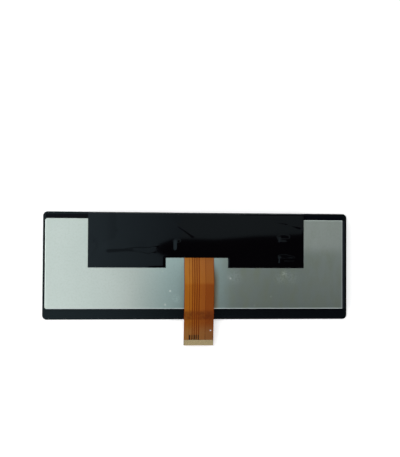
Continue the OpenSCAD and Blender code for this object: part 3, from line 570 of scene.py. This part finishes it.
# Dents, each with its place, radius and depth in millimetres. Each is drawn lighter in its middle, partly
# rubbed bare and partly a painted glint; the deeper, the brighter.
dents = [(-19.0, -17.1, 0.9, 0.10), (-22.4, -26.4, 1.0, 0.08), (22.7, -8.5, 1.0, 0.08),
         (21.4, -7.6, 1.6, 0.015), (39.5, -27.0, 1.2, 0.012), (-24, -3.6, 0.7, 0.03)]
glint_for_depth = 9
grain_height = 0.004 * mm
depth = grain.outputs["Fac"]
for x, y, radius, sunk in dents:
    middle = (x * mm, y * mm, plate_high.z)
    off = add_node(tree, "ShaderNodeVectorMath", {0: point, 1: middle}, operation="DISTANCE")
    bowl = add_node(tree, "ShaderNodeMapRange", {
        "Value": off.outputs["Value"], "From Max": radius * mm,
        "To Min": -sunk * mm / grain_height, "To Max": 0.0}, interpolation_type="SMOOTHSTEP")
    depth = add_node(tree, "ShaderNodeMath", {0: depth, 1: bowl}, operation="ADD")
    # Painted glint with some rubbing, lighter towards each dent's middle
    rub_and_painted_glint = add_node(tree, "ShaderNodeMapRange", {
        "Value": off.outputs["Value"], "From Max": radius * mm,
        "To Min": sunk * glint_for_depth, "To Max": 0.0})
    tone = add_node(tree, "ShaderNodeMix", {
        0: rub_and_painted_glint, 6: tone.outputs[2], 7: linear("#f4fbf8")}, data_type="RGBA")
skin = add_node(tree, "ShaderNodeBump", {"Height": depth, "Distance": grain_height, "Strength": 0.7})
# Finger smudges take the polish off, each with its place and radius in millimetres and its strength
smudges = [(60.4, -5.0, 3.4, 0.55), (57.4, -8.4, 6.0, 0.24), (65.0, -8.0, 8.0, 0.2),
           (51.2, -20.9, 1.2, 0.4), (26.0, -7.5, 8.0, 0.2), (-14.5, -22.5, 5.0, 0.2)]
touched = 0.0
for x, y, radius, strength in smudges:
    middle = (x * mm, y * mm, plate_high.z)
    off = add_node(tree, "ShaderNodeVectorMath", {0: point, 1: middle}, operation="DISTANCE")
    finger = add_node(tree, "ShaderNodeMapRange", {
        "Value": off.outputs["Value"], "From Max": radius * mm, "To Min": strength, "To Max": 0.0},
        interpolation_type="SMOOTHSTEP")
    touched = add_node(tree, "ShaderNodeMath", {0: touched, 1: finger}, operation="ADD")
broken = add_node(tree, "ShaderNodeMapRange", {
    "Value": speck.outputs["Fac"], "From Min": 0.4, "From Max": 0.6, "To Min": 0.15, "To Max": 1.0})
touched = add_node(tree, "ShaderNodeMath", {0: touched, 1: broken}, operation="MULTIPLY")
satin_share = 0.4
matt = add_node(tree, "ShaderNodeMath", {0: touched, 1: satin_share}, operation="ADD")
polished = add_node(tree, "ShaderNodeBsdfPrincipled", {
    "Base Color": tone.outputs[2], "Metallic": 0.85, "Roughness": dull, "Normal": skin})
satin = add_node(tree, "ShaderNodeBsdfPrincipled", {
    "Base Color": tone.outputs[2], "Metallic": 0.85, "Roughness": 0.62, "Normal": skin})
plate = add_node(tree, "ShaderNodeMixShader", {0: matt, 1: polished, 2: satin})
add_node(tree, "ShaderNodeOutputMaterial", {"Surface": plate})
dress("back_plate", steel)

# Flex tape: thin tissue tape, sticky on both sides, that holds the flex's head to the steel. Its paper
# is a mottled cream.
tissue = mottled_sheet("double_sided_tissue_tape", 1.5 * mm, 5, "#c4bfae", "#dcd8ca", 0.5)
dress("flex_tape", tissue)

# Main flex: amber polyimide film with etched copper inside. Bonded to the glass ledge, it folds round
# to the back and leaves as the tail. Where there is no copper it is a deep translucent brown.
polyimide, tree = new_material("amber_polyimide_film")
point = add_node(tree, "ShaderNodeTexCoord").outputs["Object"]
flow = add_node(tree, "ShaderNodeTexNoise", {"Vector": point, "Scale": 1 / (5 * mm), "Detail": 3})
tone = add_node(tree, "ShaderNodeMix", {
    0: flow.outputs["Fac"], 6: linear("#6c2c04"), 7: linear("#803a07")}, data_type="RGBA")
# Near the tail's end the film has no copper behind it, and shows the dark glue of the stiffener
neck_y = -47.2 * mm
spot = add_node(tree, "ShaderNodeSeparateXYZ", {0: point})
bare = add_node(tree, "ShaderNodeMath", {0: spot.outputs["Y"], 1: neck_y}, operation="LESS_THAN")
tone = add_node(tree, "ShaderNodeMix", {
    0: bare, 6: tone.outputs[2], 7: linear("#2c160a")}, data_type="RGBA")
amber = add_node(tree, "ShaderNodeBsdfPrincipled", {
    "Base Color": tone.outputs[2], "Roughness": 0.4, "Specular IOR Level": 0.1})
add_node(tree, "ShaderNodeOutputMaterial", {"Surface": amber})
dress("main_flex", polyimide)

# Copper tracks: etched copper under the amber cover film. They stand about two hundredths of a
# millimetre proud of the flex along the tail, and give a warm metal sheen through the film.
covered, tree = new_material("copper_under_amber_film")
point = add_node(tree, "ShaderNodeTexCoord").outputs["Object"]
spot = add_node(tree, "ShaderNodeSeparateXYZ", {0: point})
drift = add_node(tree, "ShaderNodeMapping", {"Vector": point, "Scale": (1, 0.15, 1)})
streak = add_node(tree, "ShaderNodeTexNoise", {"Vector": drift, "Scale": 1 / (1.2 * mm), "Detail": 3})
# The tracks turn redder towards the right, and the plane at the far right is darker still
over = add_node(tree, "ShaderNodeMapRange", {
    "Value": spot.outputs["X"], "From Min": -6 * mm, "From Max": 4 * mm, "To Max": 0.8})
plane = add_node(tree, "ShaderNodeMapRange", {
    "Value": spot.outputs["X"], "From Min": 5.4 * mm, "From Max": 5.5 * mm, "To Max": 0.85})
# Painted light: the tail is drawn lighter between the head and its ridge, where its rising slope catches
# the light
ridge = add_node(tree, "ShaderNodeMapRange", {
    "Value": spot.outputs["Y"], "From Min": -13 * mm, "From Max": -11 * mm, "To Max": 0.22})
# Painted shade: a mottled dark band across the tail where it passes over the glass's black rim, and a
# little darker below it
painted_band_y = -34 * mm
painted_band = add_node(tree, "ShaderNodeMath", {0: spot.outputs["Y"], 1: painted_band_y}, operation="SUBTRACT")
painted_band = add_node(tree, "ShaderNodeMath", {0: painted_band}, operation="ABSOLUTE")
painted_band = add_node(tree, "ShaderNodeMapRange", {
    "Value": painted_band, "From Min": 1.5 * mm, "From Max": 5 * mm, "To Min": 0.75, "To Max": 0.0},
    interpolation_type="SMOOTHSTEP")
down = add_node(tree, "ShaderNodeMapRange", {
    "Value": spot.outputs["Y"], "From Min": -29 * mm, "From Max": painted_band_y, "To Max": 0.35},
    interpolation_type="SMOOTHSTEP")
painted_band_and_below = add_node(tree, "ShaderNodeMath", {0: painted_band, 1: down}, operation="MAXIMUM")
mottle = add_node(tree, "ShaderNodeTexNoise", {"Vector": point, "Scale": 1 / (1.6 * mm), "Detail": 4})
patchy = add_node(tree, "ShaderNodeMapRange", {
    "Value": mottle.outputs["Fac"], "From Min": 0.35, "From Max": 0.65, "To Min": 0.6, "To Max": 1.0})
painted_shade_on_tail = add_node(tree, "ShaderNodeMath", {0: painted_band_and_below, 1: patchy}, operation="MULTIPLY")
# Painted light: the tail is drawn paler and greyer towards the contacts
painted_paler_end = add_node(tree, "ShaderNodeMapRange", {
    "Value": spot.outputs["Y"], "From Min": -38 * mm, "From Max": -46 * mm, "To Max": 0.3},
    interpolation_type="SMOOTHSTEP")
tone = add_node(tree, "ShaderNodeMix", {
    0: streak.outputs["Fac"], 6: linear("#b4681c"), 7: linear("#ca7b26")}, data_type="RGBA")
# The tracks take in turn redder tones, painted light, painted shade and the painted paler end
for share, hue in (
        (over, "#ac5a22"), (plane, "#a0501b"), (ridge, "#c08c40"), (painted_shade_on_tail, "#662c12"), (painted_paler_end, "#b0905c")):
    tone = add_node(tree, "ShaderNodeMix", {
        0: share, 6: tone.outputs[2], 7: linear(hue)}, data_type="RGBA")
# It keeps its gloss near the head, and has been rubbed dull further down
gloss = add_node(tree, "ShaderNodeMapRange", {
    "Value": spot.outputs["Y"], "From Min": -11 * mm, "From Max": 6 * mm, "To Min": 0.03, "To Max": 0.5})
copper = add_node(tree, "ShaderNodeBsdfPrincipled", {
    "Base Color": tone.outputs[2], "Metallic": 0.65, "Roughness": 0.42, "Specular IOR Level": 0.15,
    "Coat Weight": gloss, "Coat Roughness": 0.2})
add_node(tree, "ShaderNodeOutputMaterial", {"Surface": copper})

tail_left = -9.3 * mm
tail_w = 20.5 * mm
flex_half = 0.055 * mm
track_t = 0.018 * mm
lead_in = 0.2 * mm
contact_room = 4 * mm
neck_l = 3.4 * mm
shoulder = 0.01 * mm
bend_steps = 8
hair = 0.0001 * mm  # places closer than this are the same
# The tail's corners in the YZ plane, each with the length of its bend on either side, in millimetres
tail_corners = [
    ((5.4, 5.175), 0), ((2.46, 5.175), 3), ((-12.44, 8.175), 1.6), ((-31.3, 5.875), 6),
    ((-54.64, 2.4), 0)]


def lay_track(name, left, right, neck_left, neck_right):
    """A track that follows the tail from under the film, and narrows to its neck by the contacts."""
    rise = flex_half + track_t / 2
    corners = [(Vector((0, y, z)) * mm, bend * mm) for (y, z), bend in tail_corners]
    headings = [(b[0] - a[0]).normalized() for a, b in zip(corners, corners[1:])]
    ups = [Vector((0, heading.z, -heading.y)) for heading in headings]
    end = corners[1][0] - headings[0] * corners[1][1] + ups[0] * rise
    start = end - headings[0] * lead_in
    strip = begin(name, bpy.ops.mesh.primitive_plane_add, size=1)
    bpy.ops.transform.resize(value=(right - left, (end - start).length, 1))
    bpy.ops.transform.translate(value=(Vector(((left + right) / 2, 0, 0)) + (start + end) / 2))
    choose(strip, "EDGE", lambda m: abs(m.y - end.y) < hair)
    for k in range(1, len(corners) - 1):
        turn = headings[k - 1].angle(headings[k])
        upward = headings[k].z > headings[k - 1].z
        radius = corners[k][1] / math.tan(turn / 2) + (-rise if upward else rise)
        middle = end + ups[k - 1] * (radius if upward else -radius)
        swing = turn if upward else -turn
        bpy.ops.mesh.spin(steps=bend_steps, angle=swing, center=middle, axis=(1, 0, 0))
        end = corners[k][0] + headings[k] * corners[k][1] + ups[k] * rise
        room = contact_room + neck_l if k == len(corners) - 2 else corners[k + 1][1]
        following = corners[k + 1][0] - headings[k] * room + ups[k] * rise
        bpy.ops.mesh.extrude_region_move(TRANSFORM_OT_translate={"value": following - end})
        end = following
    bpy.ops.mesh.extrude_region_move(TRANSFORM_OT_translate={"value": headings[-1] * shoulder})
    bpy.ops.transform.resize(value=((neck_right - neck_left) / (right - left), 1, 1))
    bpy.ops.transform.translate(value=((neck_left + neck_right - left - right) / 2, 0, 0))
    bpy.ops.mesh.extrude_region_move(TRANSFORM_OT_translate={"value": headings[-1] * neck_l})
    bpy.ops.mesh.select_all(action="SELECT")
    bpy.ops.mesh.normals_make_consistent(inside=False)
    thicken(strip, track_t)
    return strip


# Each track's edges, and the edges of its narrow neck before the contacts, in millimetres from the
# tail's left edge: signal tracks at the left, two wide planes at the right
tracks = [
    (0.3, 3.5, 0.3, 3.5), (3.75, 5.5, 4.6, 5.3), (6.1, 6.85, 6.15, 6.8), (7.6, 8.35, 7.75, 8.25),
    (9.1, 9.85, 9.05, 9.7), (10.6, 14.6, 10.5, 14.6), (14.85, 20.15, 14.85, 20.15)]
strips = []
for number, track in enumerate(tracks):
    strips.append(lay_track(f"track_{number}", *[tail_left + edge * mm for edge in track]))
bpy.ops.object.select_all(action="DESELECT")
for strip in strips:
    strip.select_set(True)
bpy.context.view_layer.objects.active = strips[0]
bpy.ops.object.join()
tail_tracks = bpy.context.object
tail_tracks.name = "tail_tracks"
# A round clearance in the right plane, so that the locating hole stays open
hole_at = Vector((9.2, -44.25, 3.95)) * mm
clearance_r = 0.8 * mm
drill_l = 3 * mm
bpy.ops.object.select_all(action="DESELECT")
bpy.ops.mesh.primitive_cylinder_add(vertices=48, radius=clearance_r, depth=drill_l, location=hole_at)
drill = bpy.context.object
clearance = tail_tracks.modifiers.new("clearance", "BOOLEAN")
clearance.object = drill
clearance.operation = "DIFFERENCE"
bpy.context.view_layer.objects.active = tail_tracks
bpy.ops.object.modifier_apply(modifier=clearance.name)
bpy.ops.object.select_all(action="DESELECT")
drill.select_set(True)
bpy.ops.object.delete()
tail_tracks.select_set(True)
bpy.context.view_layer.objects.active = tail_tracks
bpy.ops.object.shade_smooth_by_angle(angle=math.radians(30))
settle(tail_tracks, covered)

# Stiffener: a slip of thicker polyimide bonded under the tail's end, so that it can be pushed into a
# socket. It is thick enough to be an opaque amber brown.
board = mottled_sheet("stiff_polyimide_slip", 1 * mm, 4, "#a5641a", "#c07c2a", 0.4)
dress("tail_stiffener", board)

# Contacts: copper fingers plated with nickel and a flash of gold, at the very end of the tail. They
# are a pale gold, scratched lengthwise by the socket.
gold, tree = new_material("gold_plated_copper")
point = add_node(tree, "ShaderNodeTexCoord").outputs["Object"]
scrape = add_node(tree, "ShaderNodeMapping", {"Vector": point, "Scale": (1, 0.1, 1)})
scratch = add_node(tree, "ShaderNodeTexNoise", {"Vector": scrape, "Scale": 1 / (0.1 * mm), "Detail": 3})
tone = add_node(tree, "ShaderNodeMix", {
    0: scratch.outputs["Fac"], 6: linear("#e4ca90"), 7: linear("#ffeaba")}, data_type="RGBA")
worn = add_node(tree, "ShaderNodeMapRange", {
    "Value": scratch.outputs["Fac"], "To Min": 0.3, "To Max": 0.5})
finger = add_node(tree, "ShaderNodeBsdfPrincipled", {
    "Base Color": tone.outputs[2], "Metallic": 0.55, "Roughness": worn})
add_node(tree, "ShaderNodeOutputMaterial", {"Surface": finger})
dress("contact_fingers", gold)

# Small parts on the flex: ceramic capacitors, thick-film resistors and moulded diodes, soldered to
# the head under the film. Each kind has its body's colour and the share that each tinned end takes.
small_parts = {"capacitor": ("#a8835a", 0.2), "resistor": ("#1b1b1d", 0.2), "diode": ("#1f1f21", 0.15)}
for kind, (body_hex, end_share) in small_parts.items():
    soldered, tree = new_material("tinned_" + kind)
    within = add_node(tree, "ShaderNodeTexCoord")
    spot = add_node(tree, "ShaderNodeSeparateXYZ", {0: within.outputs["Generated"]})
    to_end = add_node(tree, "ShaderNodeMath", {0: spot.outputs["X"], 1: 0.5}, operation="PINGPONG")
    tinned = add_node(tree, "ShaderNodeMath", {0: to_end, 1: end_share}, operation="LESS_THAN")
    tin = add_node(tree, "ShaderNodeBsdfPrincipled", {
        "Base Color": linear("#c9ccce"), "Metallic": 0.9, "Roughness": 0.35})
    body = add_node(tree, "ShaderNodeBsdfPrincipled", {"Base Color": linear(body_hex), "Roughness": 0.45})
    mixed = add_node(tree, "ShaderNodeMixShader", {0: tinned, 1: body, 2: tin})
    add_node(tree, "ShaderNodeOutputMaterial", {"Surface": mixed})
    dress(kind + "_", soldered)

# Insulating film: black polyester tape with a mirror gloss, laid over the flex's head and round its
# fold down to the ledge. It drapes over the small parts and keeps the creases that the hand left in it.
black_pet, tree = new_material("glossy_black_polyester")
point = add_node(tree, "ShaderNodeTexCoord").outputs["Object"]
orange_peel = add_node(tree, "ShaderNodeTexNoise", {
    "Vector": point, "Scale": 1 / (1.4 * mm), "Detail": 2})
peel = add_node(tree, "ShaderNodeBump", {
    "Height": orange_peel.outputs["Fac"], "Distance": 0.0005 * mm, "Strength": 0.5})
film_skin = add_node(tree, "ShaderNodeBsdfPrincipled", {
    "Base Color": linear("#050406"), "Roughness": 0.04, "Specular IOR Level": 0.27,
    "Specular Tint": linear("#cfeeff"), "Normal": peel})
add_node(tree, "ShaderNodeOutputMaterial", {"Surface": film_skin})

film_low, film_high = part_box("flex_cover_film")
film_t = 0.08 * mm
film_level = 5.29 * mm  # the middle of the film over the flex's head
step_down = 0.19 * mm  # how far it sinks beside the head, down to the steel
head_top = 5.23 * mm  # the flex's upper face there
fold_radius = 0.715 * mm
fold_start = film_high.y - film_t / 2 - fold_radius
ledge_level = film_low.z + film_t / 2
ledge_lap = 0.85 * mm
notch_left, notch_right, notch_top = -22 * mm, 21 * mm, film_low.y + 6.9 * mm
rim_slope = 0.5 * mm
cell = 0.5 * mm

# What holds the film up: left, right, low, high, height over the steel, and how far the film slopes
# down from it along X and along Y. First the head's three parts and the tail, then the LED lead.
beyond = 1.0
inner_left, inner_right = film_low.x + rim_slope, film_high.x - rim_slope
inner_low = film_low.y + rim_slope
notch_rim, notch_slope = 1 * mm, 0.8 * mm
lead_left, lead_right, lead_low = -71.6 * mm, -67.6 * mm, 21.16 * mm
lead_slope_x, lead_slope_y = 18 * mm, 8 * mm
lead_rise = step_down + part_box("backlight_flex")[1].z - head_top
carried = [
    [inner_left, inner_right, notch_top + rim_slope, beyond, step_down, rim_slope, rim_slope],
    [inner_left, notch_left - notch_rim, inner_low, beyond, step_down, notch_slope, rim_slope],
    [notch_right + rim_slope, inner_right, inner_low, beyond, step_down, rim_slope, rim_slope],
    [tail_left, tail_left + tail_w, -beyond, beyond, step_down, rim_slope, rim_slope],
    [lead_left, lead_right, lead_low, beyond, lead_rise, lead_slope_x, lead_slope_y],
]
# Then the small parts. At the right the film was pressed down less closely beside them.
left_slope, right_slope = 1.2 * mm, 4.2 * mm
part_slope = 0.7 * mm
part_gap = 0.02 * mm
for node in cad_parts:
    if node.rsplit("_", 1)[0] in small_parts:
        low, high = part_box(node)
        rise = step_down + high.z - head_top + part_gap
        side_slope = left_slope if low.x < 0 else right_slope
        carried.append([low.x, high.x, low.y, high.y, rise, side_slope, part_slope])


def smooth(share):
    """A share held between 0 and 1, and eased at both ends."""
    share = min(max(share, 0), 1)
    return share * share * (3 - 2 * share)


def height_under(x, y):
    """How high the film is held over the steel at x, y."""
    shelf = 0.25  # the first quarter of a slope stays level
    best = 0
    for left, right, low, high, height, slope_x, slope_y in carried:
        off_x = max(left - x, 0, x - right) / slope_x
        off_y = max(low - y, 0, y - high) / slope_y
        best = max(best, height * smooth(1 + shelf - math.hypot(off_x, off_y)))
    return best


# Creases of the film, each a line of points (x, y, half width, height) in millimetres
creases = [
    [(-72, 13.4, 4.4, 0), (-61, 13.5, 4.2, 0.13), (-47, 14, 3.8, 0.124), (-35, 14.2, 3.4, 0)],
    [(-49, 12.4, 0.7, 0), (-43, 13.2, 0.7, 0.045), (-33, 13.5, 0.7, 0.062), (-27, 13.3, 0.7, 0)],
    [(-47, 11.4, 0.7, 0), (-41, 10.8, 0.7, 0.045), (-34, 9.3, 0.7, 0.056), (-29, 8.7, 0.7, 0)],
    [(-18.2, 30.8, 0.8, 0.01), (-14, 28, 0.8, 0.03), (-8, 24.2, 0.8, 0.02), (-3.5, 21, 0.8, 0.01)],
    [(44, 33.2, 0.8, 0), (52.5, 31.4, 0.8, 0.022), (62, 30, 0.9, 0.026), (64, 29.8, 0.8, 0)],
    [(64, 29.2, 0.8, 0.014), (71, 27.4, 0.9, 0.024)],
    [(-74.5, 20, 1.2, 0.045), (-71.5, 17.5, 1.2, 0.06), (-69.8, 14, 1.2, 0.06), (-73, 8, 1.2, 0.035)],
    [(-73, 24.4, 0.7, 0.074), (-56, 24.3, 0.7, 0.074)],
]


def crease_height(x, y):
    """How far the creases lift the film at x, y, all in millimetres."""
    total = 0
    for line in creases:
        best = 0
        for start, stop in zip(line, line[1:]):
            a, b, p = Vector(start[:2]), Vector(stop[:2]), Vector((x, y))
            share = min(max((p - a).dot(b - a) / (b - a).length_squared, 0), 1)
            width = start[2] + (stop[2] - start[2]) * share
            height = start[3] + (stop[3] - start[3]) * share
            best = max(best, height * math.exp(-((p - a - (b - a) * share).length / width) ** 2))
        total += best
    return total


film_w = film_high.x - film_low.x
film_h = fold_start - film_low.y
film_middle = ((film_low.x + film_high.x) / 2, (film_low.y + fold_start) / 2, film_level)
film = begin("insulating_film", bpy.ops.mesh.primitive_grid_add,
             x_subdivisions=round(film_w / cell), y_subdivisions=round(film_h / cell), size=1)
bpy.ops.transform.resize(value=(film_w, film_h, 1))
bpy.ops.transform.translate(value=film_middle)
for side in (notch_left, notch_right):
    cut((side, 0, 0), (1, 0, 0))
cut((0, notch_top, 0), (0, 1, 0))
choose(film, "FACE", lambda m: notch_left < m.x < notch_right and m.y < notch_top)
bpy.ops.mesh.delete(type="FACE")
# Round the fold: a quarter turn, straight down, a quarter turn back, and the lap on the ledge
choose(film, "EDGE", lambda m: abs(m.y - fold_start) < hair)
drop = film_level - ledge_level - 2 * fold_radius
for turn_level, onward in (
        (film_level - fold_radius, (0, 0, -drop)), (ledge_level + fold_radius, (0, -ledge_lap, 0))):
    bpy.ops.mesh.spin(
        steps=bend_steps, angle=math.pi / 2, center=(0, fold_start, turn_level), axis=(1, 0, 0))
    bpy.ops.mesh.extrude_region_move(TRANSFORM_OT_translate={"value": onward})

# Drape: the level part sinks between what holds it, and its creases and waves end before the fold
calm_by_fold = 4 * mm
wave_h, wave_x, wave_y = 0.006 * mm, 22 * mm, 15 * mm
wave_slice = 3.7
shape = bmesh.from_edit_mesh(film.data)
for corner in shape.verts:
    x, y, z = corner.co
    if z > film_level - hair:
        fade = smooth((fold_start - y) / calm_by_fold)
        lift = height_under(x, y) - step_down
        wavy = wave_h * noise.noise(Vector((x / wave_x, y / wave_y, wave_slice)))
        creased = crease_height(x / mm, y / mm) * mm + wavy
        corner.co.z = film_level + lift + fade * creased * smooth((lift + step_down) / step_down)
bmesh.update_edit_mesh(film.data)
# Only what lies over the steel is eased, up to the last millimetre before the fold
eased_above, eased_before = film_level - 0.2 * mm, fold_start - 1 * mm
choose(film, "VERT", lambda m: m.z > eased_above and m.y < eased_before)
bpy.ops.mesh.vertices_smooth(factor=0.5, repeat=3, xaxis=False, yaxis=False, zaxis=True)
bpy.ops.mesh.select_all(action="SELECT")
bpy.ops.mesh.normals_make_consistent(inside=False)
thicken(film, film_t)
bpy.ops.object.shade_smooth_by_angle(angle=math.radians(35))
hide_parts("flex_cover_film")
settle(film, black_pet)
